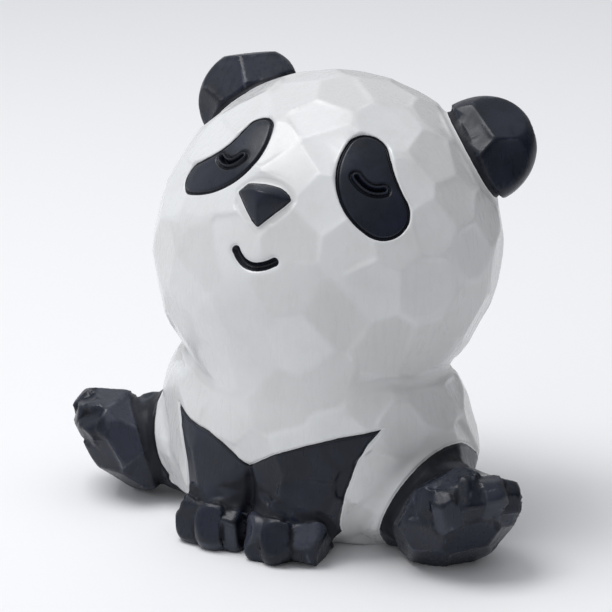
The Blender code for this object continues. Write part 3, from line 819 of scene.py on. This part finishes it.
def pick_facets(groups):
    """Facets picked from points scattered evenly over the blended figure."""
    dice = np.random.RandomState(FACET_SEED)
    points = dice.uniform(FIGURE_LOW, FIGURE_HIGH, (FACET_TRIES, 3))
    points = points[np.abs(figure_distance(groups, points)) < FACET_SHELL]
    points = settle_on_figure(groups, points, 5, 1)
    normals, _ = figure_normals(groups, points, FACET_SLOPE_STEP)
    steps, pieces = nearest_form(groups, points)
    open_skin = facet_fade(groups, points) > 0.5
    return choose_facets(points[open_skin], normals[open_skin], steps[open_skin],
                         pieces[open_skin])


def leg_paint(groups, points):
    """Distance inside the black paint of the legs and chest, negative on the white."""
    head = forms_distance(groups, points, ("head",))
    trunk = forms_distance(groups, points, ("body", "arm", "thigh"))
    paws = forms_distance(groups, points, ("paw", "paw_toe"))
    paws = np.minimum(trunk - paws, PAW_PAINT - paws)
    behind = ARM_PAINT_BACK - PAW_PAINT_BACK * falling(points[:, 2], *PAW_PAINT_RISE)
    arms = np.minimum(inside_outline(points[:, 0], points[:, 2], ARM_PAINT),
                      behind - points[:, 1])
    arms = np.where(head < HEAD_CLEAR, -1.0, arms)
    feet = [np.where(points[:, 2] < LEG_PAINT_TOP, points @ np.array(normal) - reach, -1.0)
            for normal, reach in (LEFT_FOOT_PAINT, RIGHT_FOOT_PAINT)]
    return np.maximum.reduce([paws, arms, *feet])


def black_paint(groups, points):
    """Distance inside the black paint at each point, negative on the white."""
    head = forms_distance(groups, points, ("head",))
    ears = head - forms_distance(groups, points, ("ear",))
    nose = head - forms_distance(groups, points, ("nose",))
    lines = face_lines(points)
    face = np.maximum.reduce([-lines["left_patch"], -lines["right_patch"],
                              MOUTH_PAINT - lines["mouth"]])
    face = np.where(points[:, 1] < 0.0, face, -1.0)
    return np.maximum.reduce([ears, nose, face, leg_paint(groups, points)])


def inside_patches(points):
    """1 on the eye patches, falling to 0 just outside them."""
    lines = face_lines(points)
    edge = np.minimum(lines["left_patch"], lines["right_patch"])
    return np.where(points[:, 1] < 0.0, np.clip(1.0 - edge / PATCH_FADE, 0.0, 1.0), 0.0)


def quiet_places(points):
    """How much of each facet's cut is kept: little on the eye patches and on the chest."""
    chest = falling(points[:, 1], *CHEST_AHEAD) * rising(points[:, 2], *CHEST_ABOVE)
    chest *= falling(points[:, 2], *CHEST_BELOW)
    chest *= falling(np.abs(points[:, 0] - CHEST_MIDDLE), *CHEST_HALF_WIDTH)
    patches = 1.0 - (1.0 - PATCH_FACETS) * inside_patches(points)
    return (1.0 - (1.0 - CHEST_FACETS) * chest) * patches


def carve_skin(skin, groups, facets):
    """Cut the facets, the face and the creases into the skin."""
    points = settle_on_figure(groups, get_points(skin.data), 3, 2)
    normals, _ = figure_normals(groups, points, FACET_SLOPE_STEP)
    _, pieces = nearest_form(groups, points)
    fade = facet_fade(groups, points)
    offsets = facet_offsets(points, normals, pieces, facets, fade) * facet_cut(points) * fade
    offsets *= quiet_places(points)
    offsets[pieces == NOSE_PIECE] = 0.0
    offsets += face_offsets(points) + crease_offsets(points)
    offsets += line_cut(neck_distance(groups, points), NECK_WIDTH, NECK_DEPTH)
    offsets += line_cut(leg_paint(groups, points), PAINT_EDGE_WIDTH, PAINT_EDGE_DEPTH)
    points = points + normals * offsets[:, None]
    points[:, 2] = np.maximum(points[:, 2], 0.0)
    set_points(skin.data, points)


def thin_skin(skin, most):
    """Take triangles off the flat facets until the skin has no more than its limit."""
    triangles = sum(len(face.vertices) - 2 for face in skin.data.polygons)
    thin = skin.modifiers.new("thin_out", "DECIMATE")
    thin.decimate_type = "COLLAPSE"
    thin.ratio = min(1.0, most / triangles)
    bpy.ops.object.modifier_apply(modifier=thin.name)


def inside_outline(across, up, outline):
    """Distance inside a closed outline drawn on the front, negative outside it."""
    best = np.full(len(across), FAR)
    inside = np.zeros(len(across), dtype=bool)
    corners = np.array(outline)
    for a, b in zip(corners, np.roll(corners, -1, axis=0)):
        side = b - a
        t = np.clip(((across - a[0]) * side[0] + (up - a[1]) * side[1]) / (side @ side), 0.0, 1.0)
        best = np.minimum(best, np.hypot(across - a[0] - t * side[0], up - a[1] - t * side[1]))
        crosses = (a[1] > up) != (b[1] > up)
        level = np.where(abs(side[1]) > 1e-9, (up - a[1]) / (side[1] if side[1] else 1.0), 0.0)
        inside ^= crosses & (across < a[0] + level * side[0])
    return np.where(inside, best, -best)


def facet_marks(points, facets, pieces):
    """Each point's facet tone, and its distance from that facet's edge."""
    tones = np.random.RandomState(FACET_SEED + 1).uniform(0.0, 1.0, len(facets["places"]))
    tone = np.empty(len(points))
    edge = np.empty(len(points))
    for part in chunks(points):
        gap = squared_gaps(points[part], facets["places"])
        gap = gap + np.where(pieces[part][:, None] == facets["pieces"], 0.0, OTHER_PIECE)
        nearest = np.argpartition(gap, 2, axis=1)[:, :2]
        rows = np.arange(len(gap))[:, None]
        near_gap = gap[rows, nearest]
        order = np.argsort(near_gap, axis=1)
        near_gap = np.take_along_axis(near_gap, order, axis=1)
        nearest = np.take_along_axis(nearest, order, axis=1)
        span = facets["spans"][nearest[:, 0]]
        edge[part] = np.minimum((near_gap[:, 1] - near_gap[:, 0]) / (2.2 * span), span)
        blend = np.clip(0.5 + edge[part] / 0.012, 0.5, 1.0)
        tone[part] = blend * tones[nearest[:, 0]] + (1.0 - blend) * tones[nearest[:, 1]]
    return tone, edge


def mark_paint(skin, groups, facets):
    """Store what the paint reads: borders and facet edges in millimetres, the rest from 0 to 1.

    The main forms and the nose get no worn edges with their painted highlight, so their facet
    edges are stored as one share further off.
    """
    points = get_points(skin.data)
    _, pieces = nearest_form(groups, points)
    tone, edge = facet_marks(points, facets, pieces)
    points = settle_on_figure(groups, points, 2, 2)
    lines = face_lines(points)
    eyes = np.minimum(lines["left_eye"], lines["right_eye"])
    cut = np.minimum.reduce([lines["mouth"] / MOUTH_WIDTH, eyes / SLIT_WIDTH,
                             np.abs(eyes - RIM_PLACE) / RIM_WIDTH])
    rim = np.minimum(np.abs(lines["left_patch"] + OUTLINE_IN),
                     np.abs(lines["right_patch"] + OUTLINE_IN)) / OUTLINE_WIDTH
    grooves = np.exp(-cut ** 2) + 0.6 * np.exp(-rim ** 2)
    # The grooves, creases and neck marks darken the paint as painted shade; creases also make it
    # rougher as dust
    marks = {"black_paint": black_paint(groups, points) * MM,
             "facet_edge": (edge + (pieces <= NOSE_PIECE)) * MM,
             "facet_tone": tone,
             "grooves": np.clip(grooves, 0.0, 1.0),
             "creases": 1.0 - facet_fade(groups, points, DUST_AND_SHADE_REACH),
             "neck": np.exp(-(neck_distance(groups, points) / (NECK_SHADE_SPREAD * NECK_WIDTH)) ** 2)}
    for name, values in marks.items():
        mark = skin.data.attributes.new(name, "FLOAT", "POINT")
        mark.data.foreach_set("value", values.astype(np.float32))


def bring_to_size(skin, height):
    """Bring the shares to metres on the centred footprint and turn every face outwards."""
    points = get_points(skin.data) + np.array(FOOTPRINT_SHIFT)
    set_points(skin.data, points * (height / FIGURE_TOP))
    deselect_all()
    skin.select_set(True)
    bpy.context.view_layer.objects.active = skin
    bpy.ops.object.mode_set(mode="EDIT")
    bpy.ops.mesh.select_all(action="SELECT")
    bpy.ops.mesh.quads_convert_to_tris()
    bpy.ops.mesh.normals_make_consistent(inside=False)
    bpy.ops.object.mode_set(mode="OBJECT")
    bpy.ops.object.shade_smooth()


def new_group(name, numbers, outputs):
    """A shader node group that reads a place and named numbers, and puts out numbers."""
    group = bpy.data.node_groups.new(name, "ShaderNodeTree")
    group.interface.new_socket("Place", in_out="INPUT", socket_type="NodeSocketVector")
    for label, value in numbers.items():
        socket = group.interface.new_socket(label, in_out="INPUT", socket_type="NodeSocketFloat")
        socket.default_value = value
    for label in outputs:
        group.interface.new_socket(label, in_out="OUTPUT", socket_type="NodeSocketFloat")
    return group, group.nodes.new("NodeGroupInput"), group.nodes.new("NodeGroupOutput")


def place_group(tree, group, values):
    """Place a node group with its own values, and give its outputs."""
    node = tree.nodes.new("ShaderNodeGroup")
    node.node_tree = group
    for label, value in values.items():
        feed(tree, value, node.inputs[label])
    return node.outputs


def feed(tree, value, socket):
    """Link a socket to this one, or set a number or a colour on it."""
    if isinstance(value, bpy.types.NodeSocket):
        tree.links.new(value, socket)
    elif socket.type == "RGBA":
        socket.default_value = (*value, 1.0)
    else:
        socket.default_value = value


def add_math(tree, operation, *operands, clamp=False):
    """A Math node; each operand is a socket or a number."""
    node = tree.nodes.new("ShaderNodeMath")
    node.operation = operation
    node.use_clamp = clamp
    for value, socket in zip(operands, node.inputs):
        feed(tree, value, socket)
    return node.outputs[0]


def add_range(tree, value, low, high, to_low=0.0, to_high=1.0):
    """Map a value from one range to another, smoothly and clamped."""
    node = tree.nodes.new("ShaderNodeMapRange")
    node.interpolation_type = "SMOOTHSTEP"
    for label, number in (("Value", value), ("From Min", low), ("From Max", high),
                          ("To Min", to_low), ("To Max", to_high)):
        feed(tree, number, node.inputs[label])
    return node.outputs["Result"]


def add_mix(tree, factor, first, second, kind="RGBA"):
    """Mix two colours, or two numbers with the kind FLOAT; each is a socket or a value."""
    node = tree.nodes.new("ShaderNodeMix")
    node.data_type = kind
    for label, value in (("Factor", factor), ("A", first), ("B", second)):
        feed(tree, value, [s for s in node.inputs if s.name == label and s.enabled][0])
    return [s for s in node.outputs if s.enabled][0]


def add_mark(tree, name):
    """A number stored on the skin."""
    node = tree.nodes.new("ShaderNodeAttribute")
    node.attribute_name = name
    return node.outputs["Fac"]


def add_noise(tree, place, scale, detail, rough=0.5):
    """Noise at a place."""
    node = tree.nodes.new("ShaderNodeTexNoise")
    for label, value in (("Vector", place), ("Scale", scale), ("Detail", detail),
                         ("Roughness", rough)):
        feed(tree, value, node.inputs[label])
    return node.outputs["Fac"]


def brushed_paint_group():
    """Mottled tone, brush streaks and a fine grain of hand-laid paint."""
    sizes = {"Mottle Scale": 160.0, "Streak Scale": 900.0, "Grain Scale": 5200.0}
    group, start, end = new_group("brushed_paint", sizes, ("Mottle", "Streaks", "Grain"))
    place = start.outputs["Place"]
    strokes = group.nodes.new("ShaderNodeMapping")
    strokes.inputs["Rotation"].default_value = STREAK_TURN
    strokes.inputs["Scale"].default_value = STREAK_STRETCH
    group.links.new(place, strokes.inputs["Vector"])
    for label, size, where, detail, rough in (
            ("Mottle", "Mottle Scale", place, 5.0, 0.6),
            ("Streaks", "Streak Scale", strokes.outputs["Vector"], 4.0, 0.5),
            ("Grain", "Grain Scale", place, 3.0, 0.5)):
        noise = add_noise(group, where, start.outputs[size], detail, rough)
        group.links.new(noise, end.inputs[label])
    return group


def facet_wear_and_highlight_group():
    """Where paint is rubbed thin and a painted highlight lies: along facet edges, broken up by a
    noise.
    """
    sizes = {"Facet Edge": 1.0, "Width": 0.3, "Amount": 0.5}
    group, start, end = new_group("facet_wear_and_highlight", sizes, ("Wear And Highlight",))
    close = add_range(group, start.outputs["Facet Edge"], 0.0, start.outputs["Width"], 1.0, 0.0)
    broken = add_range(group, add_noise(group, start.outputs["Place"], 420.0, 4.0), 0.46, 0.68)
    wear_and_highlight = add_math(group, "MULTIPLY", close, broken)
    wear_and_highlight = add_math(group, "MULTIPLY", wear_and_highlight, start.outputs["Amount"], clamp=True)
    group.links.new(wear_and_highlight, end.inputs["Wear And Highlight"])
    return group


def white_paint(tree, paint, border, mottle, marks):
    """White paint: thin in places, toned by facet, bright beside the black, painted shade in
    creases, neck, cut lines.
    """
    rim = add_math(tree, "MULTIPLY", add_range(tree, border, -0.20, -0.08),
                   add_range(tree, border, -0.08, -0.02, 1.0, 0.0))
    # The creases, neck and grooves layers are painted shade
    places = {"facets": marks["facet_tone"], "creases": add_range(tree, marks["creases"], 0.3, 1.0),
              "neck": marks["neck"], "rim": rim, "grooves": marks["grooves"]}
    white = add_mix(tree, add_range(tree, mottle, 0.4, 0.75, 0.0, 0.6), paint.white,
                    paint.white_shade)
    for name, (share, colour) in WHITE_LAYERS.items():
        white = add_mix(tree, add_math(tree, "MULTIPLY", places[name], share), white, colour)
    return white


def dark_paint(tree, paint, border, mottle, wear_and_highlight, marks):
    """Blue-black paint: toned by facet, rubbed with a painted highlight at edges, painted shade in
    creases, cut lines and at its border.
    """
    main = add_range(tree, marks["facet_edge"], 60.0, 70.0, 1.0, 0.35)
    tone = add_math(tree, "MULTIPLY", add_math(tree, "POWER", marks["facet_tone"], 2.5), main)
    # Painted shade: darker in cut lines and creases
    groove_and_crease_shade = add_math(tree, "MAXIMUM", add_math(tree, "MULTIPLY", marks["grooves"], 0.8),
                    add_range(tree, marks["creases"], 0.2, 1.0, 0.0, 0.7))
    # Painted shade: a dark line just inside the black paint's border
    edge = add_math(tree, "MULTIPLY", add_range(tree, border, 0.0, 0.06),
                    add_range(tree, border, 0.10, 0.30, 1.0, 0.0))
    dark = add_mix(tree, add_range(tree, mottle, 0.3, 0.7), paint.black, paint.black_light)
    for share, colour in ((tone, BLACK_FACET), (wear_and_highlight, BLACK_WORN_AND_HIGHLIGHT), (groove_and_crease_shade, BLACK_CREASE_SHADE),
                          (edge, BLACK_BORDER_SHADE)):
        dark = add_mix(tree, share, dark, colour)
    return dark


def painted_resin_material(paint):
    """White and blue-black brushed paint on cast resin, with painted shade in cut lines and
    creases, and rubbed edges with a painted highlight.
    """
    material = bpy.data.materials.new("painted_resin")
    material.use_nodes = True
    tree = material.node_tree
    surface = tree.nodes["Principled BSDF"]
    place = tree.nodes.new("ShaderNodeTexCoord").outputs["Object"]
    marks = {name: add_mark(tree, name) for name in ("black_paint", "facet_edge", "facet_tone",
                                                     "grooves", "creases", "neck")}
    mottle, streaks, grain = place_group(tree, brushed_paint_group(), {"Place": place})
    # Worn facet edges of the black, with a painted highlight
    wear_and_highlight, = place_group(tree, facet_wear_and_highlight_group(), {
        "Place": place, "Facet Edge": marks["facet_edge"], "Width": WEAR_AND_HIGHLIGHT_WIDTH,
        "Amount": paint.wear_and_highlight})

    wobble = add_math(tree, "MULTIPLY_ADD", add_noise(tree, place, 700.0, 3.0), 0.16, -0.08)
    border = add_math(tree, "ADD", marks["black_paint"], wobble)
    black = add_range(tree, border, -0.035, 0.035)
    colour = add_mix(tree, black, white_paint(tree, paint, border, mottle, marks),
                     dark_paint(tree, paint, border, mottle, wear_and_highlight, marks))
    rough = add_mix(tree, black, *(add_range(tree, streaks, 0.3, 0.7, least - 0.05, least + more)
                                   for least, more in ((paint.white_roughness, 0.08),
                                                       (paint.black_roughness, 0.10))),
                    kind="FLOAT")
    dusty = add_math(tree, "MULTIPLY_ADD", marks["creases"], 0.35, rough, clamp=True)

    height = add_math(tree, "MULTIPLY_ADD", streaks, 0.6, add_math(tree, "MULTIPLY", grain, 0.18))
    height = add_math(tree, "ADD", height, add_math(tree, "MULTIPLY", black, 0.5))
    bump = tree.nodes.new("ShaderNodeBump")
    for label, value in (("Strength", 0.35), ("Distance", 0.00006), ("Height", height)):
        feed(tree, value, bump.inputs[label])
    for label, value in (("Base Color", colour), ("Roughness", dusty), ("Metallic", 0.0),
                         ("IOR", 1.5), ("Specular IOR Level", 0.24),
                         ("Coat Weight", add_range(tree, black, 0.0, 1.0, 0.60, 0.08)),
                         ("Coat Roughness", 0.25), ("Normal", bump.outputs["Normal"])):
        feed(tree, value, surface.inputs[label])
    return material


def floor_material(colour):
    """Plain pale matt floor."""
    material = bpy.data.materials.new("pale_floor")
    material.use_nodes = True
    surface = material.node_tree.nodes["Principled BSDF"]
    surface.inputs["Base Color"].default_value = (*colour, 1.0)
    surface.inputs["Roughness"].default_value = 0.8
    surface.inputs["Specular IOR Level"].default_value = 0.2
    return material


def add_soft_light(name, place, size, power):
    """A square soft light that looks at the middle of the figurine."""
    bpy.ops.object.light_add(type="AREA", location=place)
    light = bpy.context.object
    light.name = name
    light.data.shape = "SQUARE"
    light.data.size = size
    light.data.energy = power
    back = Vector(place) - Vector(LIGHT_AIM)
    light.rotation_euler = back.to_track_quat("Z", "Y").to_euler()


def room_light(strength):
    """Light from the whole room, brightest toward ROOM_BRIGHT_WAY and dim away from it."""
    world = bpy.data.worlds.new("room_light")
    world.use_nodes = True
    tree = world.node_tree
    sky = tree.nodes["Background"]
    sky.inputs["Strength"].default_value = strength
    way = tree.nodes.new("ShaderNodeVectorMath")
    way.operation = "DOT_PRODUCT"
    way.inputs[1].default_value = Vector(ROOM_BRIGHT_WAY).normalized()
    tree.links.new(tree.nodes.new("ShaderNodeTexCoord").outputs["Generated"], way.inputs[0])
    rise = add_range(tree, way.outputs["Value"], -0.45, 0.85)
    colour = add_mix(tree, rise, ROOM_DIM, ROOM_BRIGHT)
    tree.links.new(colour, sky.inputs["Color"])
    return world


def add_camera():
    """The camera at the photograph's angle, distance and framing."""
    turn, rise = math.radians(CAMERA_TURN), math.radians(CAMERA_RISE)
    back = Vector((math.sin(turn) * math.cos(rise), -math.cos(turn) * math.cos(rise),
                   math.sin(rise)))
    bpy.ops.object.camera_add(location=Vector(CAMERA_AIM) + back * CAMERA_DISTANCE,
                              rotation=back.to_track_quat("Z", "Y").to_euler())
    camera = bpy.context.object
    camera.name = "photo_camera"
    camera.data.sensor_width = SENSOR_WIDTH
    camera.data.lens = CAMERA_LENS
    camera.data.clip_start = 0.01
    camera.data.clip_end = 50.0
    bpy.context.scene.camera = camera


class FigurineSizes(bpy.types.PropertyGroup):
    """Sizes of the figurine that a user may change."""

    height: FloatProperty(name="Height", description="Height of the figurine, base to ear tip",
                          default=0.075, min=0.03, max=0.3, unit="LENGTH", subtype="DISTANCE")
    skin_step: FloatProperty(name="Skin fineness", default=SKIN_STEP, min=0.004, max=0.02,
                             description="Spacing of the carved skin's points, as a share "
                                         "of the height", precision=4)
    most_triangles: IntProperty(name="Most triangles", default=MOST_TRIANGLES, min=20000,
                                max=200000, description="Triangles left on the carved skin")


class FigurinePaint(bpy.types.PropertyGroup):
    """Colours and gloss of the paint."""

    white: FloatVectorProperty(name="White", description="Colour of the white paint",
                               subtype="COLOR", size=3, min=0.0, max=1.0,
                               default=(0.735, 0.745, 0.755))
    white_shade: FloatVectorProperty(name="White, thin", subtype="COLOR", size=3, min=0.0,
                                     max=1.0, default=(0.655, 0.66, 0.655),
                                     description="Colour of the white paint where it lies thin")
    black: FloatVectorProperty(name="Black", description="Colour of the blue-black paint",
                               subtype="COLOR", size=3, min=0.0, max=1.0,
                               default=(0.0035, 0.0060, 0.0115))
    black_light: FloatVectorProperty(name="Black, thin", subtype="COLOR", size=3, min=0.0,
                                     max=1.0, default=(0.011, 0.014, 0.028),
                                     description="Colour of the black paint where it lies thin")
    white_roughness: FloatProperty(name="White roughness", subtype="FACTOR", default=0.28,
                                   min=0.0, max=1.0, description="How matt the white paint is")
    black_roughness: FloatProperty(name="Black roughness", subtype="FACTOR", default=0.29,
                                   min=0.0, max=1.0, description="How matt the black paint is")
    # Edge wear also paints a highlight on the facet edges of ears, feet and toes
    wear_and_highlight: FloatProperty(name="Edge wear and highlight", subtype="FACTOR", default=0.5, min=0.0, max=1.0,
                        description="How much the paint of ears, feet and toes is rubbed and lit by a painted highlight")


class StageSettings(bpy.types.PropertyGroup):
    """Floor and lights."""

    floor: FloatVectorProperty(name="Floor", description="Colour of the floor",
                               subtype="COLOR", size=3, min=0.0, max=1.0,
                               default=(0.90, 0.90, 0.91))
    key_power: FloatProperty(name="Main light", description="Power of the main soft light",
                             default=3.05, min=0.0, unit="POWER")
    fill_power: FloatProperty(name="Fill light", description="Power of the fill light",
                              default=0.05, min=0.0, unit="POWER")
    world_strength: FloatProperty(name="Room light", description="Strength of the room's light",
                                  default=0.75, min=0.0)


class FIGURINE_OT_carve(bpy.types.Operator):
    """Carve the panda figurine and paint it"""

    bl_idname = "figurine.carve"
    bl_label = "Carve and paint the panda"

    def execute(self, context):
        """Build the one piece of the figurine."""
        sizes = context.scene.figurine_sizes
        groups = figure_groups()
        facets = pick_facets(groups)
        skin = join_lumps(groups, "painted_panda", sizes.skin_step)
        cut_lines_finer(skin, groups)
        carve_skin(skin, groups, facets)
        thin_skin(skin, sizes.most_triangles)
        mark_paint(skin, groups, facets)
        bring_to_size(skin, sizes.height)
        skin.data.materials.clear()
        skin.data.materials.append(painted_resin_material(context.scene.figurine_paint))
        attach(skin, "root")
        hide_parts("panda_figurine")
        return {"FINISHED"}


class FIGURINE_OT_stage(bpy.types.Operator):
    """Set the pale floor, the soft lights and the camera"""

    bl_idname = "figurine.stage"
    bl_label = "Set the stage"

    def execute(self, context):
        """Set the floor, the lights, the room light and the camera."""
        stage = context.scene.figurine_stage
        deselect_all()
        bpy.ops.mesh.primitive_plane_add(size=FLOOR_WIDTH, location=(0.0, 0.0, 0.0))
        floor = context.object
        floor.name = "pale_floor"
        floor.data.materials.append(floor_material(stage.floor))
        add_soft_light("main_light", KEY_PLACE, KEY_WIDTH, stage.key_power)
        for name, place in FILL_PLACES.items():
            add_soft_light(name, place, FILL_WIDTH, stage.fill_power)
        context.scene.world = room_light(stage.world_strength)
        context.scene.view_settings.view_transform = "Standard"
        add_camera()
        return {"FINISHED"}


class FIGURINE_PT_panel(bpy.types.Panel):
    """Sizes, paint and stage of the figurine"""

    bl_idname = "FIGURINE_PT_panel"
    bl_label = "Panda figurine"
    bl_space_type = "VIEW_3D"
    bl_region_type = "UI"
    bl_category = "Figurine"

    def draw(self, context):
        """List the settings and the two operators."""
        scene = context.scene
        for title, settings in (("Sizes", scene.figurine_sizes), ("Paint", scene.figurine_paint),
                                ("Stage", scene.figurine_stage)):
            box = self.layout.box()
            box.label(text=title)
            for name in settings.__annotations__:
                box.prop(settings, name)
        self.layout.operator(FIGURINE_OT_carve.bl_idname)
        self.layout.operator(FIGURINE_OT_stage.bl_idname)


CLASSES = (FigurineSizes, FigurinePaint, StageSettings, FIGURINE_OT_carve, FIGURINE_OT_stage,
           FIGURINE_PT_panel)


def register():
    """Add the settings, the operators and the panel."""
    for made in CLASSES:
        bpy.utils.register_class(made)
    bpy.types.Scene.figurine_sizes = PointerProperty(type=FigurineSizes)
    bpy.types.Scene.figurine_paint = PointerProperty(type=FigurinePaint)
    bpy.types.Scene.figurine_stage = PointerProperty(type=StageSettings)


def unregister():
    """Take the settings, the operators and the panel away again."""
    del bpy.types.Scene.figurine_sizes
    del bpy.types.Scene.figurine_paint
    del bpy.types.Scene.figurine_stage
    for made in reversed(CLASSES):
        bpy.utils.unregister_class(made)


def main():
    """Build the figurine and its stage."""
    register()
    bpy.ops.figurine.carve()
    bpy.ops.figurine.stage()
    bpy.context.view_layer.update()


if __name__ == "__main__":
    main()
